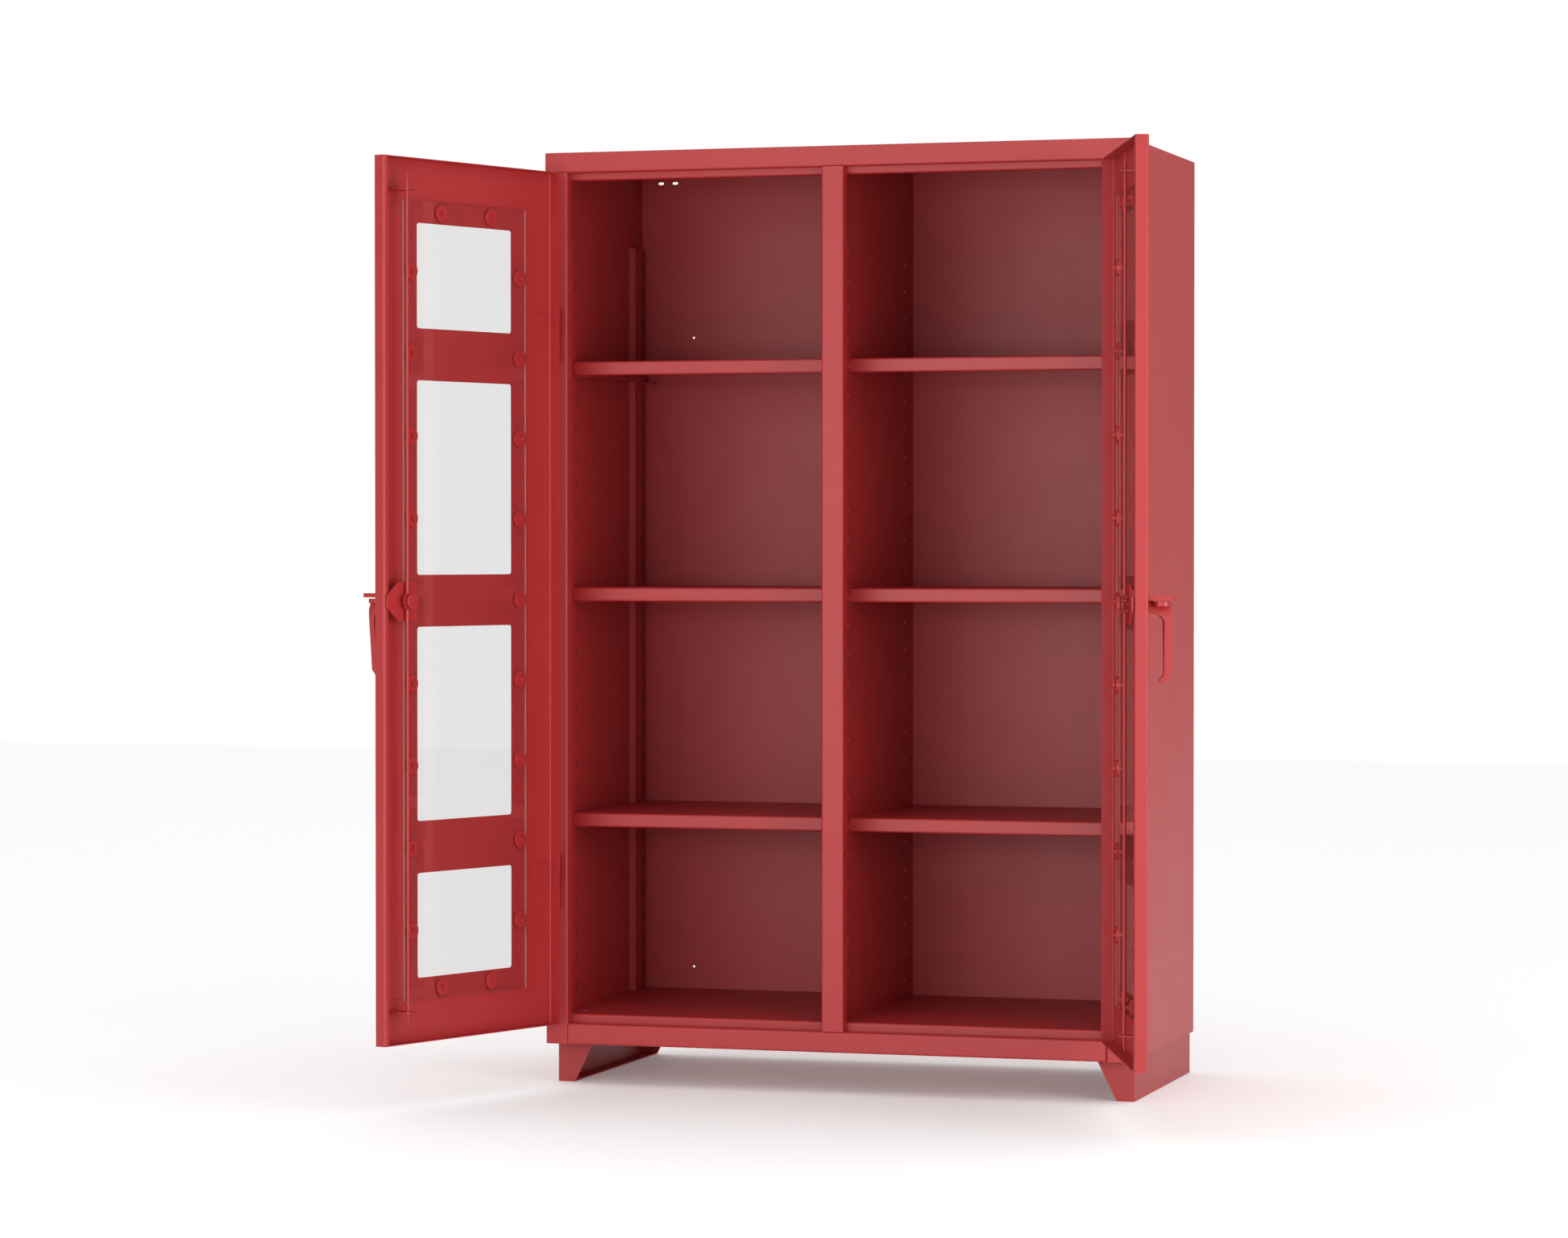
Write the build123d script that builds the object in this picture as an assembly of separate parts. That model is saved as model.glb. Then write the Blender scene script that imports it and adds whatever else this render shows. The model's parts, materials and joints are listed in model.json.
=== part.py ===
from build123d import *
import os
from math import cos, radians, sin

# Two-door windowed safety cabinet. Millimetres, +X to the right, +Y to the back, +Z up.
# The origin is on the floor, at the centre of the rectangle of the four leg anchor holes.

# ---- driving dimensions -------------------------------------------------------------
WIDTH = 1219.2
DEPTH = 609.6
HEIGHT = 1901.0
SHEET = 2.0
BEND = 2.5

LEG_HEIGHT = 84.0
LEG_SHEET = 3.0
LEG_INSET = 4.0
LEG_FRONT_SETBACK = 64.0
LEG_BACK_SETBACK = 15.6
LEG_TOP_WIDTH = 78.0
LEG_FOOT_WIDTH = 36.0
ANCHOR_RADIUS = 7.0
ANCHOR_SPACING_Y = 411.0
ANCHOR_INSET = 24.0

JAMB_WIDTH = 47.0
FRAME_DEPTH = 27.0
POST_WIDTH = 46.0
HEADER_HEIGHT = 41.0
RAIL_HEIGHT = 42.0
STOP_Y = 28.0
STOP_DROP = 14.0
STOP_LEG = 24.0
FLOOR_RISE = 17.3

DOOR_GAP = 3.0
DOOR_THICKNESS = 26.0
DOOR_LIP = 12.0
DOOR_OPEN = 109.6
PIN_X = 23.4
PIN_Y = -8.4

WINDOW_CENTRE = 269.0
WINDOW_WIDTH = 287.0
WINDOW_RADIUS = 6.0
WINDOW_BAR = 102.0
TALL_WINDOW = 381.0
SHORT_WINDOW = 206.0
PANE_WIDTH = 369.0
PANE_HEIGHT = 1567.0
PANE_THICKNESS = 5.0
PANE_GAP = 0.3
BOLT_ROWS = 9
BOLT_PITCH = 161.3
BOLT_COLUMN = 164.0
BOLT_END_ROW = 762.0
BOLT_END_COLUMN = 75.0
BOLT_RADIUS = 3.0
WASHER_RADIUS = 16.5
WASHER_THICKNESS = 3.0

LATCH_U = 480.0
ROD_OFFSET = 38.0
ROD_RADIUS = 3.2
ROD_INNER = 8.5
ROD_TOP_RETRACT = 30.0
ROD_BOTTOM_RETRACT = 34.0
ROD_TIP = 22.0
ROD_HOLE_RADIUS = 5.0
GUIDE_FROM_CENTRE = 800.0
CAM_OFFSET = 28.0
CAM_THICKNESS = 3.2
SPINDLE_RADIUS = 4.0

HINGE_LENGTH = 106.0
HINGE_ABOVE = 533.0
HINGE_BELOW = 580.0
KNUCKLE_RADIUS = 6.5
PIN_RADIUS = 3.0
RUNNING_CLEARANCE = 0.05

SHELF_TOPS = {"upper": 1480.8, "middle": 1015.2, "lower": 549.6}
SHELF_LIP = 28.7
SHELF_FRONT = 118.0
SHELF_BACK = 600.0
SHELF_HEM = 14.0
STANDARD_PITCH = 58.2
STANDARD_WIDTH = 44.0
STANDARD_DEPTH = 14.0
STANDARD_TOP = 1739.0
STANDARD_CENTRES = {"front": 112.0, "rear": 540.0}
STANDARD_ROWS = 27
STEP_DEPTH = 7.0
STEP_WIDTH = 40.0
SLOT_OFFSET = 49.0
SLOT_WIDTH = 7.0
SLOT_HEIGHT = 28.0
CLIP_OFFSET = 37.0
CLIP_WIDTH = 26.0
CLIP_REACH = 31.0
SHELF_BOLT_COLUMNS = (160.0, 540.0)
HOLE_BELOW_SHELF = 18.0
SHELF_HOLE_RADIUS = 4.0

BACK_HOLE_X = 490.5
BACK_HOLE_TOP = 1550.0
BACK_HOLE_BOTTOM = 190.8
BACK_HOLE_RADIUS = 2.5
BACK_SLOT_INSETS = (45.0, 77.0)
BACK_SLOT_DROP = 17.0

# ---- derived places -----------------------------------------------------------------
LEFT = -WIDTH / 2
FRONT = -(LEG_FRONT_SETBACK + DEPTH - LEG_BACK_SETBACK) / 2
BACK = FRONT + DEPTH
HEADER_Z = HEIGHT - HEADER_HEIGHT
RAIL_Z = LEG_HEIGHT + RAIL_HEIGHT
FLOOR_Z = RAIL_Z + FLOOR_RISE
DOOR_BOTTOM = RAIL_Z + DOOR_GAP
DOOR_TOP = HEADER_Z - DOOR_GAP
DOOR_MIDDLE = (DOOR_BOTTOM + DOOR_TOP) / 2
DOOR_X = LEFT + JAMB_WIDTH + DOOR_GAP
DOOR_WIDTH = WIDTH / 2 - POST_WIDTH / 2 - JAMB_WIDTH - 2 * DOOR_GAP
LOWEST_ROW = SHELF_TOPS["lower"] - HOLE_BELOW_SHELF - 6 * STANDARD_PITCH
HINGE_AXIS = Axis((LEFT + PIN_X, FRONT + PIN_Y, 0), (0, 0, 1))

nodes = {}


# ---- helpers ------------------------------------------------------------------------
def block(x0, x1, y0, y1, z0, z1):
    """A box between two corners, with y measured back from the cabinet's front face."""
    size = (x1 - x0, y1 - y0, z1 - z0)
    return Pos((x0 + x1) / 2, FRONT + (y0 + y1) / 2, (z0 + z1) / 2) * Box(*size)


def drum(x, y, z, radius, length, direction):
    """A cylinder that starts at a point and runs along a direction, y from the front."""
    plane = Plane(origin=(x, FRONT + y, z), z_dir=direction)
    return extrude(plane * Circle(radius), length)


def bent_sheet(plane, points, length, side=Side.LEFT, thickness=SHEET):
    """A folded sheet: its outer line with rounded bends, thickened, then extruded."""
    line = FilletPolyline(*points, radius=BEND + thickness)
    outline = offset(line, amount=thickness, side=side)
    face = plane * make_face(outline.edges())
    return extrude(face, length, dir=plane.z_dir)


def plan_sheet(points, z0, z1, side=Side.LEFT):
    """A folded sheet drawn in plan, with y measured back from the front face."""
    placed = [(x, FRONT + y) for x, y in points]
    return bent_sheet(Plane.XY.offset(z0), placed, z1 - z0, side)


def section_sheet(points, x0, x1, side=Side.LEFT):
    """A folded sheet drawn in the YZ section and run along X."""
    placed = [(FRONT + y, z) for y, z in points]
    return bent_sheet(Plane.YZ.offset(x0), placed, x1 - x0, side)


def mirrored(part):
    """The right-hand copy of a left-hand part."""
    return mirror(part, about=Plane.YZ)


def both_sides(name, part):
    """Store a left-hand part and its mirrored right-hand twin."""
    nodes["left_" + name] = part
    nodes["right_" + name] = mirrored(part)


def both_doors(name, part):
    """Swing a part of the closed left door open, and store it with its twin."""
    both_sides(name, part.rotate(HINGE_AXIS, -DOOR_OPEN))


# ---- cabinet body -------------------------------------------------------------------
def side_panel():
    """Side sheet whose front edge wraps round as the door jamb, with a bottom flange."""
    inner = LEFT + JAMB_WIDTH
    points = [(LEFT, DEPTH), (LEFT, 0), (inner, 0), (inner, FRAME_DEPTH)]
    panel = plan_sheet(points, LEG_HEIGHT, HEIGHT)
    header_space = block(LEFT - 1, inner + 1, -1, SHEET, HEADER_Z, HEIGHT + 1)
    return_space = block(LEFT + SHEET, inner + 1, -1, FRAME_DEPTH + 5, HEADER_Z, HEIGHT + 1)
    corner_space = block(LEFT - 1, LEFT + SHEET, -1, BEND + 2 * SHEET, HEADER_Z, HEIGHT + 1)
    corner = block(LEFT, LEFT + SHEET, SHEET, BEND + 2 * SHEET, HEADER_Z, HEIGHT)
    flange = block(LEFT + 1, LEFT + 62, FRAME_DEPTH + 4, DEPTH - 4, LEG_HEIGHT, LEG_HEIGHT + SHEET)
    return panel - header_space - return_space - corner_space + corner + flange


def top_panel():
    inside = LEFT + SHEET
    return block(inside, -inside, SHEET, DEPTH, HEIGHT - SHEET, HEIGHT)


def back_panel():
    """Flat back with four wall-fixing holes and a pair of slots in each top corner."""
    inside = LEFT + SHEET
    top = HEIGHT - SHEET
    panel = block(inside, -inside, DEPTH - SHEET, DEPTH, LEG_HEIGHT, top)
    for side in (-1, 1):
        for z in (BACK_HOLE_TOP, BACK_HOLE_BOTTOM):
            panel -= drum(side * BACK_HOLE_X, DEPTH - 10, z, BACK_HOLE_RADIUS, 20, (0, 1, 0))
        for inset in BACK_SLOT_INSETS:
            place = (side * (-LEFT - inset), BACK - 10, HEIGHT - BACK_SLOT_DROP)
            slot = Plane(origin=place, x_dir=(1, 0, 0), z_dir=(0, -1, 0))
            panel -= extrude(slot * SlotOverall(12.5, 5.5), 20, both=True)
    return panel


def header_rail():
    """Front channel over the doors: web the full width, flanges between the sides."""
    low, high = HEADER_Z, HEIGHT - SHEET
    points = [(FRAME_DEPTH, low), (0, low), (0, HEIGHT + 20)]
    rail = section_sheet(points, LEFT, -LEFT, Side.RIGHT)
    rail -= block(LEFT - 1, -LEFT + 1, -1, FRAME_DEPTH + 1, HEIGHT, HEIGHT + 30)
    for side in (-1, 1):
        x = side * (-LEFT - SHEET / 2)
        rail -= block(x - SHEET / 2, x + SHEET / 2, SHEET, FRAME_DEPTH + 1, low - 1, high + 5)
    top_edge = rail.edges().filter_by(Axis.X).sort_by(lambda e: e.center().Z - e.center().Y)[-1]
    return fillet(top_edge, 1.2)


def door_stop():
    """Angle behind the header: its face stops the doors, its foot takes the upper rods."""
    low = HEADER_Z - STOP_DROP
    points = [(STOP_Y + STOP_LEG, low), (STOP_Y, low), (STOP_Y, HEIGHT - SHEET - 1)]
    stop = section_sheet(points, LEFT + SHEET, -LEFT - SHEET, Side.RIGHT)
    for side in (-1, 1):
        stop -= drum(side * rod_x(), ROD_OFFSET, low - 5, ROD_HOLE_RADIUS, 12, (0, 0, 1))
    return stop


def bottom_rail():
    """Front channel under the doors, between the jambs."""
    end = -LEFT - JAMB_WIDTH - 0.4
    points = [(FRAME_DEPTH, LEG_HEIGHT), (0, LEG_HEIGHT), (0, RAIL_Z), (FRAME_DEPTH, RAIL_Z)]
    return section_sheet(points, -end, end, Side.RIGHT)


def rod_x():
    """Distance of the lock rods from the middle plane with the door closed."""
    return -(DOOR_X + LATCH_U)


def floor_pan():
    """Left bay floor: flat sheet with a front flange that stops the door's bottom."""
    points = [(STOP_Y, LEG_HEIGHT + 6), (STOP_Y, FLOOR_Z), (DEPTH - SHEET, FLOOR_Z)]
    pan = section_sheet(points, LEFT + SHEET, -SHEET / 2, Side.RIGHT)
    pan -= drum(-rod_x(), ROD_OFFSET, FLOOR_Z - 10, ROD_HOLE_RADIUS, 20, (0, 0, 1))
    for x, y in ((LEFT + 53, 96), (LEFT + 46, 558)):
        pan -= drum(x, y, FLOOR_Z - 10, 7, 20, (0, 0, 1))
    return pan


def centre_post():
    """Front post between the doors, a channel open to the back."""
    half = POST_WIDTH / 2
    points = [(-half, FRAME_DEPTH), (-half, 0), (half, 0), (half, FRAME_DEPTH)]
    return plan_sheet(points, RAIL_Z, HEADER_Z)


def centre_divider():
    """Wall between the bays, with two columns of shelf bolt holes."""
    half = SHEET / 2
    wall = block(-half, half, STOP_Y + 4, DEPTH - SHEET, LEG_HEIGHT + 6, HEADER_Z - STOP_DROP)
    wall += block(-half, half, SHEET, STOP_Y + 5, FLOOR_Z + 4, HEADER_Z - STOP_DROP - 2)
    wall += block(-half, half, STOP_Y + STOP_LEG + 2, DEPTH - SHEET, FLOOR_Z, HEIGHT - SHEET)
    for y in STANDARD_CENTRES.values():
        for row in range(STANDARD_ROWS):
            z = LOWEST_ROW + row * STANDARD_PITCH
            wall -= drum(-5, y, z, SHELF_HOLE_RADIUS, 10, (1, 0, 0))
    for top in SHELF_TOPS.values():
        z = top - HOLE_BELOW_SHELF
        wall -= drum(-5, SHELF_BOLT_COLUMNS[0], z, SHELF_HOLE_RADIUS, 10, (1, 0, 0))
    return wall


def leg():
    """Bent leg plate: side sheet, tapered front and back flanges, top and foot flanges."""
    x0 = LEFT + LEG_INSET
    y0, y1 = LEG_FRONT_SETBACK, DEPTH - LEG_BACK_SETBACK
    t = LEG_SHEET
    body = block(x0, x0 + t, y0, y1, 0, LEG_HEIGHT)
    body += block(x0, x0 + LEG_FOOT_WIDTH, y0, y1, 0, t)
    body += block(x0, x0 + LEG_TOP_WIDTH, y0, y1, LEG_HEIGHT - t, LEG_HEIGHT)
    corners = [
        (x0, 0),
        (x0 + LEG_FOOT_WIDTH, 0),
        (x0 + LEG_TOP_WIDTH, LEG_HEIGHT),
        (x0, LEG_HEIGHT),
    ]
    for y in (y0 + t, y1):
        face = Plane(origin=(0, FRONT + y, 0), x_dir=(1, 0, 0), z_dir=(0, -1, 0)) * Polygon(
            *corners, align=None
        )
        body += extrude(face, t, dir=(0, -1, 0))
    for side in (-1, 1):
        y = (y0 + y1) / 2 + side * ANCHOR_SPACING_Y / 2
        body -= drum(x0 + ANCHOR_INSET, y, -1, ANCHOR_RADIUS, t + 2, (0, 0, 1))
    upright = body.edges().filter_by(Axis.Z).filter_by(lambda e: abs(e.center().X - x0) < 0.1)
    return fillet(upright, 2.5)


# ---- shelving -----------------------------------------------------------------------
def standard(centre):
    """Stepped channel on the side wall: a tall face, and a low one with clip slots."""
    x0 = LEFT + SHEET
    x1 = x0 + STANDARD_DEPTH
    x2 = x0 + STEP_DEPTH
    y0 = centre - STANDARD_WIDTH / 2
    y1 = centre + STANDARD_WIDTH / 2
    y2 = y1 + STEP_WIDTH
    under = FLOOR_Z - 1
    over = STANDARD_TOP + 1
    channel = block(x0, x1, y0, y1, FLOOR_Z, STANDARD_TOP)
    channel += block(x0, x2, y1, y2, FLOOR_Z, STANDARD_TOP)
    channel -= block(x0 - 1, x1 - SHEET, y0 + SHEET, y1 - SHEET, under, over)
    channel -= block(x0 - 1, x2 - SHEET, y1, y2 - SHEET, under, over)
    slot_y = centre + SLOT_OFFSET
    for row in range(STANDARD_ROWS):
        z = LOWEST_ROW + row * STANDARD_PITCH
        plane = Plane(origin=(x2 + 1, FRONT + slot_y, z), x_dir=(0, 0, 1), z_dir=(1, 0, 0))
        channel -= extrude(plane * SlotOverall(SLOT_HEIGHT, SLOT_WIDTH), -SHEET - 2)
    return channel


def shelf(top):
    """Shelf tray with a hemmed front lip, back and side flanges turned down."""
    x0 = LEFT + SHEET + STANDARD_DEPTH + 1
    x1 = -SHEET / 2 - 0.5
    low = top - SHELF_LIP
    points = [
        (SHELF_FRONT + SHELF_HEM, low),
        (SHELF_FRONT, low),
        (SHELF_FRONT, top),
        (SHELF_BACK, top),
        (SHELF_BACK, low),
    ]
    tray = section_sheet(points, x0, x1, Side.RIGHT)
    inner = SHELF_FRONT + BEND + 2 * SHEET
    for a, b in ((x0, x0 + SHEET), (x1 - SHEET, x1)):
        tray += block(a, b, inner, SHELF_BACK - BEND - 2 * SHEET, low, top - 0.5)
    for y in SHELF_BOLT_COLUMNS:
        z = top - HOLE_BELOW_SHELF
        tray -= drum(x1 - SHEET - 1, y, z, SHELF_HOLE_RADIUS, SHEET + 2, (1, 0, 0))
    return tray


def shelf_clips():
    """Clips on the standards' slotted faces: a tongue and a ledge under the shelf."""
    clips = []
    x0 = LEFT + SHEET + STEP_DEPTH + 0.3
    for top in SHELF_TOPS.values():
        z = top - SHELF_LIP - 0.2
        for centre in STANDARD_CENTRES.values():
            y0 = centre + CLIP_OFFSET - CLIP_WIDTH / 2
            y1 = y0 + CLIP_WIDTH
            ledge = block(x0, x0 + CLIP_REACH, y0, y1, z - 3, z)
            tongue = block(x0, x0 + 3, y0, y1, z - 22, z)
            clips.append(ledge + tongue)
    return Compound(clips + [mirrored(clip) for clip in clips])


def shelf_bolts():
    """Bolts and nuts through the divider that hold both bays' shelves."""
    bolts = []
    for top in SHELF_TOPS.values():
        z = top - HOLE_BELOW_SHELF
        for y in SHELF_BOLT_COLUMNS:
            shank = drum(-9, y, z, 3.5, 18, (1, 0, 0))
            plane = Plane(origin=(3.7, FRONT + y, z), z_dir=(1, 0, 0))
            head = extrude(plane * RegularPolygon(6.5, 6), 5.5)
            bolts.append(shank + head + mirrored(head))
    return Compound(bolts)


# ---- hinges -------------------------------------------------------------------------
def hinge_middles():
    return (DOOR_MIDDLE + HINGE_ABOVE, DOOR_MIDDLE - HINGE_BELOW)


def frame_leaf(middle):
    """Fixed hinge half: a leaf on the jamb and the lower knuckle."""
    half = HINGE_LENGTH / 2
    pin_x = LEFT + PIN_X
    leaf = block(LEFT + 4, LEFT + 38, -1.6, 0, middle - half, middle + half)
    web = block(pin_x - 4.5, pin_x + 4.5, PIN_Y, -1.4, middle - half, middle - 0.4)
    knuckle = drum(pin_x, PIN_Y, middle - half, KNUCKLE_RADIUS, half - 0.4, (0, 0, 1))
    bore = drum(pin_x, PIN_Y, middle - half + 4, PIN_RADIUS + RUNNING_CLEARANCE, half, (0, 0, 1))
    return leaf + web + knuckle - bore


def door_leaf(middle):
    """Moving hinge half, a cranked leaf with the upper knuckle, and its backing plate."""
    half = HINGE_LENGTH / 2
    pin_x = LEFT + PIN_X
    z0, z1 = middle + 0.4, middle + half
    leaf = block(pin_x, DOOR_X + 40, -5, -2, z0, z1)
    pad = block(DOOR_X + 2, DOOR_X + 40, -2.2, 0, z0, z1)
    knuckle = drum(pin_x, PIN_Y, z0, KNUCKLE_RADIUS, z1 - z0, (0, 0, 1))
    web = block(pin_x, pin_x + 5.5, PIN_Y, -2, z0, z1)
    bore = drum(pin_x, PIN_Y, z0 - 1, PIN_RADIUS + RUNNING_CLEARANCE, z1 - z0 + 2, (0, 0, 1))
    backing = block(DOOR_X + 15, DOOR_X + 52, SHEET, SHEET + 2.5, middle + 1, middle + 44)
    return [leaf + pad + knuckle + web - bore, backing]


def hinge_pin(middle):
    """Pin that stands in the lower knuckle, with a domed cap above the upper one."""
    half = HINGE_LENGTH / 2
    pin_x = LEFT + PIN_X
    pin = drum(pin_x, PIN_Y, middle - half + 4.2, PIN_RADIUS, 2 * half - 3.8, (0, 0, 1))
    cap = drum(pin_x, PIN_Y, middle + half + 0.4, KNUCKLE_RADIUS - 1, 3.5, (0, 0, 1))
    crown = cap.edges().filter_by(GeomType.CIRCLE).sort_by(Axis.Z)[-1]
    return pin + fillet(crown, 2)


# ---- doors, modelled closed ---------------------------------------------------------
def window_spans():
    """Low and high z of the four windows, symmetric about the door's middle."""
    spans = []
    for side in (-1, 1):
        inner = side * WINDOW_BAR / 2
        outer = inner + side * TALL_WINDOW
        spans.append((inner, outer))
        inner = outer + side * WINDOW_BAR
        spans.append((inner, inner + side * SHORT_WINDOW))
    return [(DOOR_MIDDLE + min(s), DOOR_MIDDLE + max(s)) for s in spans]


def bolt_places():
    """u and z of every pane bolt: two long columns and two on each end."""
    places = []
    for side in (-1, 1):
        for row in range(BOLT_ROWS):
            z = DOOR_MIDDLE + (row - (BOLT_ROWS - 1) / 2) * BOLT_PITCH
            places.append((WINDOW_CENTRE + side * BOLT_COLUMN, z))
        for end in (-1, 1):
            u = WINDOW_CENTRE + side * BOLT_END_COLUMN
            places.append((u, DOOR_MIDDLE + end * BOLT_END_ROW))
    return places


def door_panel():
    """Door pan: skin, four flanges, a return lip on the free edge and four windows."""
    u1 = DOOR_X + DOOR_WIDTH
    lip_end = u1 - DOOR_LIP
    points = [
        (DOOR_X, DOOR_THICKNESS),
        (DOOR_X, 0),
        (u1, 0),
        (u1, DOOR_THICKNESS),
        (lip_end, DOOR_THICKNESS),
    ]
    pan = plan_sheet(points, DOOR_BOTTOM, DOOR_TOP)
    inset = SHEET / 2
    for z0 in (DOOR_BOTTOM, DOOR_TOP - SHEET):
        pan += block(DOOR_X + inset, u1 - inset, inset, DOOR_THICKNESS - 0.5, z0, z0 + SHEET)
        pan += block(DOOR_X + 4, u1 - 4, 0, DOOR_THICKNESS - 0.5, z0, z0 + SHEET)
    for low, high in window_spans():
        centre = (DOOR_X + WINDOW_CENTRE, FRONT - 5, (low + high) / 2)
        plane = Plane(origin=centre, x_dir=(1, 0, 0), z_dir=(0, -1, 0))
        outline = RectangleRounded(WINDOW_WIDTH, high - low, WINDOW_RADIUS)
        pan -= extrude(plane * outline, -12)
    for u, z in bolt_places():
        pan -= drum(DOOR_X + u, -2, z, BOLT_RADIUS + 0.3, 8, (0, 1, 0))
    return pan - drum(DOOR_X + LATCH_U, -2, DOOR_MIDDLE, SPINDLE_RADIUS + 0.4, 8, (0, 1, 0))


def window_pane():
    """One clear pane behind all four windows."""
    u0 = DOOR_X + WINDOW_CENTRE - PANE_WIDTH / 2
    y0 = SHEET + PANE_GAP
    half = PANE_HEIGHT / 2
    pane = block(u0, u0 + PANE_WIDTH, y0, y0 + PANE_THICKNESS, DOOR_MIDDLE - half, DOOR_MIDDLE + half)
    for u, z in bolt_places():
        pane -= drum(DOOR_X + u, 0, z, BOLT_RADIUS + 0.3, 12, (0, 1, 0))
    return pane


def pane_washers():
    y0 = SHEET + PANE_GAP + PANE_THICKNESS
    rings = []
    for u, z in bolt_places():
        ring = drum(DOOR_X + u, y0, z, WASHER_RADIUS, WASHER_THICKNESS, (0, 1, 0))
        ring -= drum(DOOR_X + u, y0 - 1, z, BOLT_RADIUS + 0.3, WASHER_THICKNESS + 2, (0, 1, 0))
        rings.append(ring)
    return Compound(rings)


def pane_bolts():
    """Low domed heads outside, a hex nut and the thread's end inside."""
    y0 = SHEET + PANE_GAP + PANE_THICKNESS + WASHER_THICKNESS
    bolts = []
    for u, z in bolt_places():
        head = drum(DOOR_X + u, 0, z, 7.5, 3, (0, -1, 0))
        head = fillet(head.edges().filter_by(GeomType.CIRCLE).sort_by(Axis.Y)[0], 2.4)
        shank = drum(DOOR_X + u, -0.5, z, BOLT_RADIUS, y0 + 8.5, (0, 1, 0))
        plane = Plane(origin=(DOOR_X + u, FRONT + y0, z), z_dir=(0, 1, 0))
        nut = extrude(plane * RegularPolygon(5.8, 6), 5)
        bolts.append(head + shank + nut)
    return Compound(bolts)


def rod_guide(end):
    """Angle on the door skin that guides a rod near one end: +1 upper, -1 lower."""
    ledge_z = DOOR_MIDDLE + end * GUIDE_FROM_CENTRE
    u = DOOR_X + LATCH_U
    y0 = SHEET
    tip = ROD_OFFSET + 11
    outline = [
        (u - 22, FRONT + y0),
        (u + 22, FRONT + y0),
        (u + 14, FRONT + tip - 5),
        (u + 6, FRONT + tip),
        (u - 6, FRONT + tip),
        (u - 14, FRONT + tip - 5),
    ]
    face = Plane.XY.offset(ledge_z - 1.2) * Polygon(*outline, align=None)
    ledge = extrude(face, 2.4, dir=(0, 0, 1))
    far = ledge_z - end * 24
    leg = block(u - 22, u + 22, y0, y0 + 2.4, min(ledge_z, far), max(ledge_z, far))
    guide = ledge + leg
    return guide - drum(u, ROD_OFFSET, ledge_z - 5, ROD_RADIUS + RUNNING_CLEARANCE, 10, (0, 0, 1))


def lock_rod(end):
    """Lock rod, hooked towards the cam at its inner end, pointed at its outer end."""
    u = DOOR_X + LATCH_U
    retract = ROD_TOP_RETRACT if end > 0 else ROD_BOTTOM_RETRACT
    tip_z = (DOOR_TOP if end > 0 else DOOR_BOTTOM) - end * retract
    start_z = DOOR_MIDDLE + end * ROD_INNER
    shoulder_z = tip_z - end * ROD_TIP
    rod = drum(u, ROD_OFFSET, start_z, ROD_RADIUS, abs(shoulder_z - start_z), (0, 0, end))
    hook_y = CAM_OFFSET + CAM_THICKNESS + 0.6
    hook = drum(u, hook_y, start_z + end * ROD_RADIUS, ROD_RADIUS, ROD_OFFSET - hook_y, (0, 1, 0))
    tip_base = Plane(origin=(u, FRONT + ROD_OFFSET, shoulder_z), z_dir=(0, 0, end))
    point = Cone(ROD_RADIUS, 0.8, ROD_TIP, align=(Align.CENTER, Align.CENTER, Align.MIN))
    return rod + hook + tip_base * point


def cam_plate():
    """Flat cam with its nose towards the door's free edge."""
    upper = [(-37, 32), (-31, 38), (18, 38), (51, 11)]
    outline = upper + [(u, -z) for u, z in reversed(upper)]
    y0 = CAM_OFFSET
    origin = (DOOR_X + LATCH_U, FRONT + y0 + CAM_THICKNESS, DOOR_MIDDLE)
    plane = Plane(origin=origin, x_dir=(1, 0, 0), z_dir=(0, -1, 0))
    plate = extrude(plane * Polygon(*outline, align=None), CAM_THICKNESS, dir=(0, -1, 0))
    plate = fillet(plate.edges().filter_by(Axis.Y), 5)
    return plate - drum(DOOR_X + LATCH_U, 0, DOOR_MIDDLE, SPINDLE_RADIUS + 0.1, 60, (0, 1, 0))


def spindle():
    """Shaft from the handle through the door to the cam."""
    return drum(DOOR_X + LATCH_U, -10, DOOR_MIDDLE, SPINDLE_RADIUS, 64, (0, 1, 0))


def latch_hub():
    """Retaining collar and round nut on the spindle's inner end."""
    u = DOOR_X + LATCH_U
    start = ROD_OFFSET + ROD_RADIUS + 0.6
    collar = drum(u, start, DOOR_MIDDLE, 16.5, 3.4, (0, 1, 0))
    neck = drum(u, start + 3, DOOR_MIDDLE, 9.5, 4, (0, 1, 0))
    nut = drum(u, start + 6, DOOR_MIDDLE, 14, 6.5, (0, 1, 0))
    nut = fillet(nut.edges().filter_by(GeomType.CIRCLE).sort_by(Axis.Y)[-1], 1.5)
    hub = collar + neck + nut
    return hub - drum(u, start - 1, DOOR_MIDDLE, SPINDLE_RADIUS + 0.1, 40, (0, 1, 0))


def escutcheon():
    """Round bush on the door's face that carries the spindle."""
    u = DOOR_X + LATCH_U
    bush = drum(u, 0, DOOR_MIDDLE, 10, 3, (0, -1, 0))
    bush = fillet(bush.edges().filter_by(GeomType.CIRCLE).sort_by(Axis.Y)[0], 1)
    return bush - drum(u, 1, DOOR_MIDDLE, SPINDLE_RADIUS + RUNNING_CLEARANCE, 6, (0, -1, 0))


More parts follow.
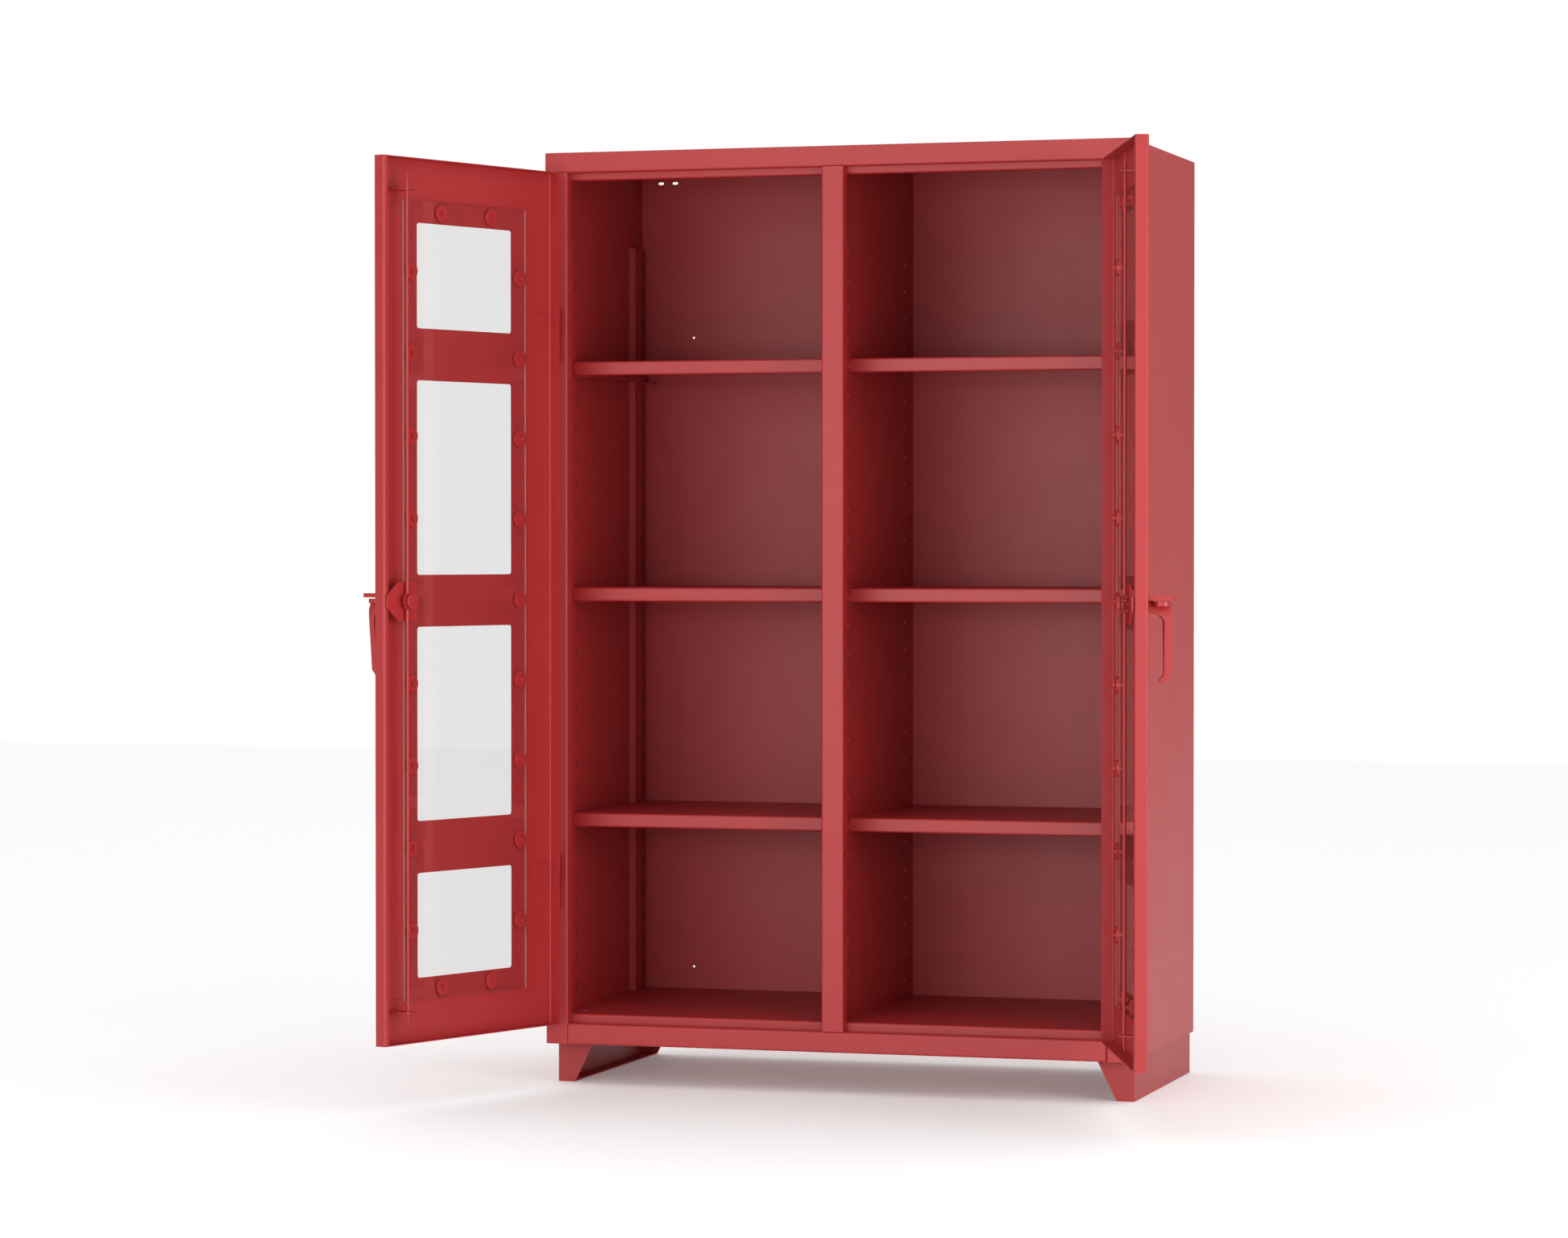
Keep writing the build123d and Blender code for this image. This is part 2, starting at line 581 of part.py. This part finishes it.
def lever_handle():
    """Lever that stands off the door and hangs down, with a padlock ear at its top."""
    u = DOOR_X + LATCH_U
    side = Plane(origin=(u, FRONT, DOOR_MIDDLE), x_dir=(0, 1, 0), z_dir=(1, 0, 0))
    with BuildSketch(side) as profile:
        with BuildLine():
            Polyline((-15.5, -18), (-3.6, -18), (-3.6, 6.5), (-14, 6.5), (-14, 4), (-47, 4), (-47, -134))
            Line((-47, -134), (-38, -145))
            Polyline((-38, -145), (-29, -145), (-26, -140), (-34.5, -131), (-34.5, -37))
            RadiusArc((-34.5, -37), (-15.5, -18), 19)
        make_face()
    bar = extrude(profile.sketch, 30, both=True)
    front = Plane(origin=(u, FRONT, DOOR_MIDDLE), x_dir=(1, 0, 0), z_dir=(0, -1, 0))
    half = [(8, 7), (17, -16), (17, -28), (7, -146)]
    outline = half + [(-a, b) for a, b in reversed(half)]
    taper = extrude(front * Polygon(*outline, align=None), 60, dir=(0, -1, 0))
    lever = bar & taper
    ear = block(u - 5, u + 28, -45, -13, DOOR_MIDDLE - 4, DOOR_MIDDLE + 5)
    ear = fillet(ear.edges().filter_by(Axis.Z).sort_by(Axis.X)[-2:], 14)
    lever += ear - drum(u + 18, -29, DOOR_MIDDLE - 10, 4.75, 20, (0, 0, 1))
    return lever - drum(u, 1, DOOR_MIDDLE, SPINDLE_RADIUS + 0.1, 11.2, (0, -1, 0))


def padlock_tab():
    """Fixed lug on the door over the handle's ear, with the padlock hole."""
    u = DOOR_X + LATCH_U
    z0 = DOOR_MIDDLE + 7.5
    outline = [(8, 0), (30, 0), (30, -48), (24, -55), (8, -55)]
    placed = [(u + a, FRONT + b) for a, b in outline]
    tab = extrude(Plane.XY.offset(z0) * Polygon(*placed, align=None), 8, dir=(0, 0, 1))
    tab += block(u + 8, u + 30, -3, 0, z0, z0 + 22)
    return tab - drum(u + 18, -29, z0 - 1, 4.75, 10, (0, 0, 1))


# ---- assembly -----------------------------------------------------------------------
both_sides("side_panel", side_panel())
nodes["top_panel"] = top_panel()
nodes["back_panel"] = back_panel()
nodes["header_rail"] = header_rail()
nodes["door_stop"] = door_stop()
nodes["bottom_rail"] = bottom_rail()
both_sides("floor_pan", floor_pan())
nodes["centre_post"] = centre_post()
nodes["centre_divider"] = centre_divider()
both_sides("leg", leg())
for place, centre in STANDARD_CENTRES.items():
    both_sides(place + "_standard", standard(centre))
for place, top in SHELF_TOPS.items():
    both_sides(place + "_shelf", shelf(top))
nodes["shelf_clips"] = shelf_clips()
nodes["shelf_bolts"] = shelf_bolts()

both_sides("hinge_frame_leaves", Compound([frame_leaf(z) for z in hinge_middles()]))
both_sides("hinge_pins", Compound([hinge_pin(z) for z in hinge_middles()]))
door_leaves = [solid for z in hinge_middles() for solid in door_leaf(z)]
both_doors("hinge_door_leaves", Compound(door_leaves))
both_doors("door_panel", door_panel())
both_doors("window_pane", window_pane())
both_doors("pane_washers", pane_washers())
both_doors("pane_bolts", pane_bolts())
for place, end in (("upper", 1), ("lower", -1)):
    both_doors(place + "_rod_guide", rod_guide(end))
    both_doors(place + "_lock_rod", lock_rod(end))
both_doors("cam_plate", cam_plate())
both_doors("spindle", spindle())
both_doors("latch_hub", latch_hub())
both_doors("escutcheon", escutcheon())
both_doors("lever_handle", lever_handle())
both_doors("padlock_tab", padlock_tab())

os.makedirs("parts", exist_ok=True)
for name, part in nodes.items():
    export_step(part, "parts/" + name + ".step")

opening = radians(DOOR_OPEN)
reach_x = LATCH_U + DOOR_X - LEFT - PIN_X
print("nodes", len(nodes))
print("pin axis", round(LEFT + PIN_X, 3), round(FRONT + PIN_Y, 3))
latch_x = LEFT + PIN_X + cos(opening) * reach_x - sin(opening) * PIN_Y
latch_y = FRONT + PIN_Y - sin(opening) * reach_x - cos(opening) * PIN_Y
print("latch axis", round(latch_x, 3), round(latch_y, 3), DOOR_MIDDLE)
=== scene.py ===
import json
import math

import bpy
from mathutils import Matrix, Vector

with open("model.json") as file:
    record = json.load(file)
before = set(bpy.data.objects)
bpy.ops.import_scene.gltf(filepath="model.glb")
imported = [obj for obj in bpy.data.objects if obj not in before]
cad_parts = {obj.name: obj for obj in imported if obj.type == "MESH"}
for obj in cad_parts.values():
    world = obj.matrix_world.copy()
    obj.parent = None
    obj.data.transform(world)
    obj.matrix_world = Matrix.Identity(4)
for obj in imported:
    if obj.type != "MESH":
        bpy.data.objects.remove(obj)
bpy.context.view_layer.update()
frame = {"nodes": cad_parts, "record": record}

MM = 0.001
WHITE = (1, 1, 1, 1)


# ---- camera, light and floor --------------------------------------------------------
def aim(obj, direction):
    """Point an object's -Z axis along a direction, with its X axis level."""
    obj.rotation_euler = Vector(direction).to_track_quat("-Z", "Y").to_euler()


def make_camera():
    """A long lens seen slightly from the right, at the height of the cabinet's middle."""
    yaw, pitch = 0.2972, -0.0161
    focal_length, sensor = 104.2, 36
    data = bpy.data.cameras.new("camera")
    data.lens = focal_length
    data.sensor_width = sensor
    data.clip_end = 100
    camera = bpy.data.objects.new("camera", data)
    camera.location = (2.5696, -9.0474, 1.1007)
    level = math.cos(pitch)
    aim(camera, (-math.sin(yaw) * level, math.cos(yaw) * level, math.sin(pitch)))
    bpy.context.collection.objects.link(camera)
    bpy.context.scene.camera = camera


def area_light(name, place, target, size, power):
    """A rectangular lamp at a place, turned to its target, with its power in watts."""
    data = bpy.data.lights.new(name, "AREA")
    data.shape = "RECTANGLE"
    data.size, data.size_y = size
    data.energy = power
    light = bpy.data.objects.new(name, data)
    light.location = place
    aim(light, Vector(target) - Vector(place))
    bpy.context.collection.objects.link(light)


def make_lights():
    """Two soft boxes and a low front fill, inside a studio that is brightest overhead."""
    middle = (0, 0, 1.0)
    area_light("soft_box_left", (-1.8, -6.3, 1.7), middle, (1.8, 2.2), 46)
    area_light("soft_box_right", (5.0, -3.2, 1.3), middle, (3.0, 2.4), 140)
    area_light("front_fill", (0.3, -7.5, 1.2), middle, (3.0, 1.4), 100)
    bpy.context.scene.world = make_studio()
    bpy.context.scene.view_settings.view_transform = "Standard"


def make_studio():
    """A white backdrop that lights the object with a grey horizon and a bright ceiling."""
    horizon, ceiling, backdrop = 0.32, 0.85, 1.0
    world = bpy.data.worlds.new("studio")
    world.use_nodes = True
    tree = world.node_tree
    background = tree.nodes["Background"]
    background.inputs["Color"].default_value = WHITE
    direction = tree.nodes.new("ShaderNodeTexCoord").outputs["Generated"]
    split = tree.nodes.new("ShaderNodeSeparateXYZ")
    tree.links.new(direction, split.inputs["Vector"])
    rise = tree.nodes.new("ShaderNodeMapRange")
    rise.inputs["To Min"].default_value = horizon
    rise.inputs["To Max"].default_value = horizon + ceiling
    tree.links.new(split.outputs["Z"], rise.inputs["Value"])
    path = tree.nodes.new("ShaderNodeLightPath")
    seen = tree.nodes.new("ShaderNodeMath")
    seen.operation = "MAXIMUM"
    tree.links.new(path.outputs["Is Camera Ray"], seen.inputs[0])
    tree.links.new(path.outputs["Is Transmission Ray"], seen.inputs[1])
    choose = tree.nodes.new("ShaderNodeMix")
    choose.inputs["B"].default_value = backdrop
    tree.links.new(seen.outputs["Value"], choose.inputs["Factor"])
    tree.links.new(rise.outputs["Result"], choose.inputs["A"])
    tree.links.new(choose.outputs["Result"], background.inputs["Strength"])
    return world


def make_floor():
    """A wide matt floor just under the feet, with a faint glow that lifts the shadows."""
    reach, drop = 14.0, 0.0005
    paint, glow = 0.96, 0.14
    mesh = bpy.data.meshes.new("studio_floor")
    corners = [(-reach, -reach, 0), (reach, -reach, 0), (reach, reach, 0), (-reach, reach, 0)]
    mesh.from_pydata(corners, [], [(0, 1, 2, 3)])
    floor = bpy.data.objects.new("studio_floor", mesh)
    floor.location.z = -drop
    bpy.context.collection.objects.link(floor)
    material = bpy.data.materials.new("studio_floor")
    material.use_nodes = True
    shader = material.node_tree.nodes["Principled BSDF"]
    shader.inputs["Base Color"].default_value = (paint, paint, paint, 1)
    shader.inputs["Roughness"].default_value = 0.5
    shader.inputs["IOR"].default_value = 1.1
    shader.inputs["Emission Color"].default_value = WHITE
    shader.inputs["Emission Strength"].default_value = glow
    mesh.materials.append(material)


# ---- materials ----------------------------------------------------------------------
class Look:
    """A principled material, with helpers that wire up its procedural textures."""

    def __init__(self, name):
        self.material = bpy.data.materials.new(name)
        self.material.use_nodes = True
        self.tree = self.material.node_tree
        self.shader = self.tree.nodes["Principled BSDF"]
        self.place = self.tree.nodes.new("ShaderNodeTexCoord").outputs["Object"]

    def set(self, **values):
        for name, value in values.items():
            self.shader.inputs[name.replace("_", " ")].default_value = value

    def noise(self, scale, detail=2.0, roughness=0.5):
        node = self.tree.nodes.new("ShaderNodeTexNoise")
        node.inputs["Scale"].default_value = scale
        node.inputs["Detail"].default_value = detail
        node.inputs["Roughness"].default_value = roughness
        self.tree.links.new(self.place, node.inputs["Vector"])
        return node.outputs["Fac"]

    def spread(self, source, low, high, start=0.3, end=0.7):
        node = self.tree.nodes.new("ShaderNodeMapRange")
        node.inputs["From Min"].default_value = start
        node.inputs["From Max"].default_value = end
        node.inputs["To Min"].default_value = low
        node.inputs["To Max"].default_value = high
        self.tree.links.new(source, node.inputs["Value"])
        return node.outputs["Result"]

    def mix(self, factor, low, high):
        node = self.tree.nodes.new("ShaderNodeMix")
        node.data_type = "RGBA"
        node.inputs["A"].default_value = (*low, 1)
        node.inputs["B"].default_value = (*high, 1)
        self.tree.links.new(factor, node.inputs["Factor"])
        return node.outputs["Result"]

    def bump(self, heights):
        """Chain several (height, strength, distance) bumps into the shader's normal."""
        last = None
        for height, strength, distance in heights:
            node = self.tree.nodes.new("ShaderNodeBump")
            node.inputs["Strength"].default_value = strength
            node.inputs["Distance"].default_value = distance
            self.tree.links.new(height, node.inputs["Height"])
            if last is not None:
                self.tree.links.new(last, node.inputs["Normal"])
            last = node.outputs["Normal"]
        self.tree.links.new(last, self.shader.inputs["Normal"])

    def link(self, source, name):
        self.tree.links.new(source, self.shader.inputs[name])


def powder_coat(name, color, roughness=0.45, peel=0.2):
    """Satin red powder coat: faint cloudiness, orange peel and uneven gloss."""
    uneven = 0.015
    grain, peel_depth, grain_depth = 0.12, 0.0004, 0.0001
    look = Look(name)
    low = tuple((1 - uneven) * c for c in color)
    high = tuple((1 + uneven) * c for c in color)
    cloud = look.spread(look.noise(3.0, 3.0), 0, 1)
    look.link(look.mix(cloud, low, high), "Base Color")
    gloss = look.spread(look.noise(9.0, 4.0), roughness - uneven, roughness + uneven)
    look.link(gloss, "Roughness")
    look.set(Metallic=0.0, IOR=1.5)
    peel_height = look.noise(420.0, 2.0)
    grain_height = look.noise(2200.0, 1.0)
    look.bump([(peel_height, peel, peel_depth), (grain_height, grain, grain_depth)])
    return look.material


def clear_pane(name):
    """Clear polycarbonate sheet with a faint grey tint, which lets lamps shine through."""
    look = Look(name)
    look.set(Transmission_Weight=1.0, IOR=1.46, Roughness=0.015)
    look.set(Base_Color=(0.856, 0.860, 0.860, 1))
    tree = look.tree
    path = tree.nodes.new("ShaderNodeLightPath")
    through = tree.nodes.new("ShaderNodeBsdfTransparent")
    through.inputs["Color"].default_value = (0.76, 0.76, 0.76, 1)
    choose = tree.nodes.new("ShaderNodeMixShader")
    tree.links.new(path.outputs["Is Shadow Ray"], choose.inputs["Fac"])
    tree.links.new(look.shader.outputs["BSDF"], choose.inputs[1])
    tree.links.new(through.outputs["BSDF"], choose.inputs[2])
    tree.links.new(choose.outputs["Shader"], tree.nodes["Material Output"].inputs["Surface"])
    return look.material


def cut_edge(name):
    """Sawn edge of the clear sheet: pale and matt, with a pink tint that is painted red bounce
    light from the paint around it.
    """
    look = Look(name)
    # Pale matt edge; the red in this colour is painted bounce light from the red paint nearby.
    look.set(Base_Color=(0.46, 0.26, 0.26, 1), Roughness=0.45, IOR=1.4)
    return look.material


RED = (0.375, 0.019, 0.020)
# Painted shade: the body red darkened by a tenth for the legs, standing in for the shade low
# down by the floor. The real legs wear the same red.
LEG_RED_WITH_PAINTED_SHADE = (0.335, 0.017, 0.018)


def make_materials():
    return {
        "body_paint": powder_coat("body_paint", RED),
        "door_paint": powder_coat("door_paint", RED),
        "shelf_paint": powder_coat("shelf_paint", RED, roughness=0.43),
        "latch_paint": powder_coat("latch_paint", RED, roughness=0.40, peel=0.15),
        "handle_paint": powder_coat("handle_paint", RED, roughness=0.38, peel=0.12),
        "hinge_paint": powder_coat("hinge_paint", RED, roughness=0.42),
        "standard_paint": powder_coat("standard_paint", RED, roughness=0.46),
        # The legs get the red darkened as painted shade.
        "leg_paint": powder_coat("leg_paint", LEG_RED_WITH_PAINTED_SHADE, roughness=0.47),
        "plated_hardware": powder_coat("plated_hardware", RED, roughness=0.42),
        "clear_pane": clear_pane("clear_pane"),
        "cut_edge": cut_edge("cut_edge"),
    }


# ---- dressing the CAD nodes ---------------------------------------------------------
# Edge radii in millimetres, for nodes whose names hold these words.
EDGE = {"leg": 0.8, "side_panel": 0.6, "door_panel": 0.6, "lever": 1.6, "cam": 0.5, "rod": 0.25}
PLAIN_EDGE = 0.4
WELD_DISTANCE = 0.01
FLAT_ANGLE = 0.5
EDGE_ANGLE = 32


def edge_size(node):
    """The bevel width that a node's name asks for."""
    for word, size in EDGE.items():
        if word in node:
            return size
    return PLAIN_EDGE


def dress_pane(obj, materials):
    """Clear faces and pale sawn edges, left flat and sharp."""
    obj.data.materials.clear()
    obj.data.materials.append(materials["clear_pane"])
    obj.data.materials.append(materials["cut_edge"])
    across = 0.5
    wide = max(obj.data.polygons, key=lambda face: face.area).normal.copy()
    for face in obj.data.polygons:
        face.material_index = int(abs(face.normal.dot(wide)) < across)


def dress(node, obj, material):
    """Give a CAD node its paint, rounded edges and smooth curved faces."""
    obj.data.materials.clear()
    obj.data.materials.append(material)
    for face in obj.data.polygons:
        face.use_smooth = True
    weld = obj.modifiers.new("weld", "WELD")
    weld.merge_threshold = WELD_DISTANCE * MM
    merge = obj.modifiers.new("flat_faces", "DECIMATE")
    merge.decimate_type = "DISSOLVE"
    merge.angle_limit = math.radians(FLAT_ANGLE)
    bevel = obj.modifiers.new("edges", "BEVEL")
    bevel.width = edge_size(node) * MM
    bevel.segments = 2
    bevel.limit_method = "ANGLE"
    bevel.angle_limit = math.radians(EDGE_ANGLE)
    bevel.harden_normals = True
    bevel.use_clamp_overlap = True
    weighted = obj.modifiers.new("normals", "WEIGHTED_NORMAL")
    weighted.weight = 100
    weighted.keep_sharp = True


def main():
    make_camera()
    make_lights()
    make_floor()
    materials = make_materials()
    slots = {row["node"]: row["material_slot"] for row in frame["record"]["subparts"]}
    for node, obj in frame["nodes"].items():
        if slots[node] == "clear_pane":
            dress_pane(obj, materials)
        else:
            dress(node, obj, materials[slots[node]])


main()
